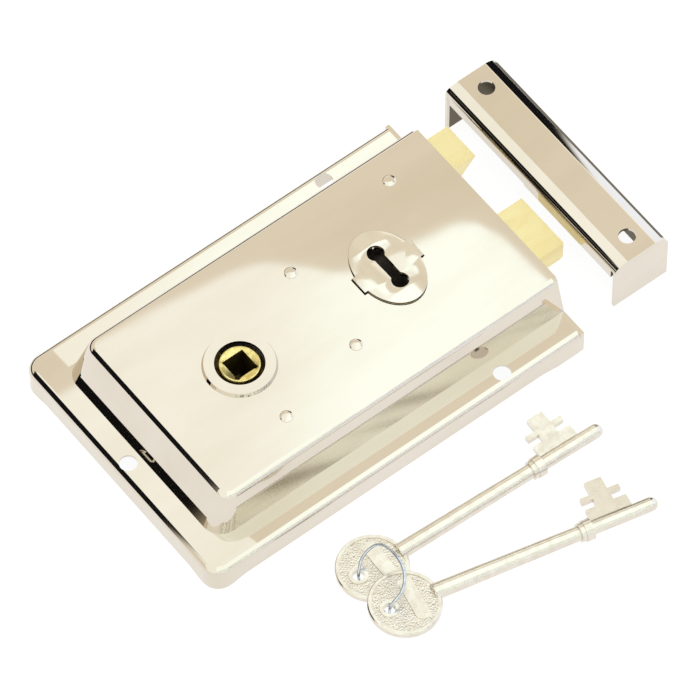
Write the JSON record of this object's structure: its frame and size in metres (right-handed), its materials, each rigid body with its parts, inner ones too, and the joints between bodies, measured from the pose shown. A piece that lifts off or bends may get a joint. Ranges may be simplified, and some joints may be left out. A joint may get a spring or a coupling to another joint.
{
  "type": "rim sash lock",
  "caption": "Surface-fixed door lock with a sprung latch worked by a square follower, a key-worked dead bolt, a separate box keep and lever keys on a wire ring.",
  "frame": {"origin": "on the follower's axis, in the plane of the door face that the lock's back plate lies on", "axes": "+X points from the follower to the forend and the bolts, +Y along the door edge towards the latch bolt, +Z out from the door face; the lock, its keep and its keys all lie on the plane z = 0"},
  "size_m": [0.19, 0.1643, 0.0263],
  "materials": {
    "polished_nickel": "polished nickel plate",
    "plain_steel": "mill finish steel",
    "satin_brass": "satin brass",
    "cast_brass": "machined brass",
    "spring_steel": "spring steel",
    "satin_nickel": "satin nickel plate",
    "zinc_wire": "bright zinc wire"
  },
  "bodies": {
    "case": {"case_cover": "polished_nickel", "back_plate": "plain_steel", "forend_plate": "polished_nickel", "forend_rivets": "plain_steel", "case_posts": "polished_nickel", "back_screws": "plain_steel", "keyhole_plate": "polished_nickel", "lever_spacer": "plain_steel", "spring_stud": "plain_steel", "latch_spring": "spring_steel", "lever_spring_1": "spring_steel", "lever_spring_2": "spring_steel"},
    "follower": {"follower": "cast_brass"},
    "latch_bolt": {"latch_head": "satin_brass", "latch_tail": "plain_steel"},
    "dead_bolt": {"dead_bolt_head": "satin_brass", "dead_bolt_tail": "plain_steel", "bolt_stump": "plain_steel"},
    "lower_lever": {"lever_1": "plain_steel"},
    "upper_lever": {"lever_2": "plain_steel"},
    "keep": {"keep": "polished_nickel"},
    "key_ring": {"key_ring": "zinc_wire"},
    "first_key": {"key_1": "satin_nickel"},
    "second_key": {"key_2": "satin_nickel"}
  },
  "joints": [
    {"name": "follower_turn", "type": "hinge", "parent": "case", "child": "follower", "pos_m": [0, 0, 0.012], "axis": [0, 0, 1], "range_deg": [0, 45]},
    {"name": "latch_slide", "type": "slide", "parent": "case", "child": "latch_bolt", "axis": [1, 0, 0], "range_m": [-0.0126, 0], "stiffness_N_per_m": 300, "springref_m": 0.012, "deforming": ["latch_spring"]},
    {"name": "dead_bolt_slide", "type": "slide", "parent": "case", "child": "dead_bolt", "axis": [1, 0, 0], "range_m": [-0.014, 0]},
    {"name": "lower_lever_pivot", "type": "hinge", "parent": "case", "child": "lower_lever", "pos_m": [0.034, -0.0168, 0.016], "axis": [0, 0, 1], "range_deg": [-4.2, 0], "stiffness_Nm_per_rad": 0.04, "springref_deg": 22.92, "deforming": ["lever_spring_1"]},
    {"name": "upper_lever_pivot", "type": "hinge", "parent": "case", "child": "upper_lever", "pos_m": [0.034, -0.0168, 0.0183], "axis": [0, 0, 1], "range_deg": [-4.2, 0], "stiffness_Nm_per_rad": 0.04, "springref_deg": 22.92, "deforming": ["lever_spring_2"]},
    {"name": "keep_slide", "type": "slide", "parent": "case", "child": "keep", "axis": [1, 0, 0], "range_m": [-0.015, 0.03]},
    {"name": "ring_lift", "type": "slide", "parent": "case", "child": "key_ring", "axis": [0, 0, 1], "range_m": [0, 0.06]},
    {"name": "first_key_swing", "type": "hinge", "parent": "key_ring", "child": "first_key", "pos_m": [-0.01019, -0.07474, 0.0025], "axis": [0, 0, 1], "range_deg": [-3, 5]},
    {"name": "second_key_swing", "type": "hinge", "parent": "key_ring", "child": "second_key", "pos_m": [-0.01118, -0.0919, 0.0058], "axis": [0, 0, 1], "range_deg": [-25, 3]}
  ],
  "couplings": [
    {"joint": "follower_turn", "follows": "latch_slide", "rad_per_m": -62.333}
  ]
}
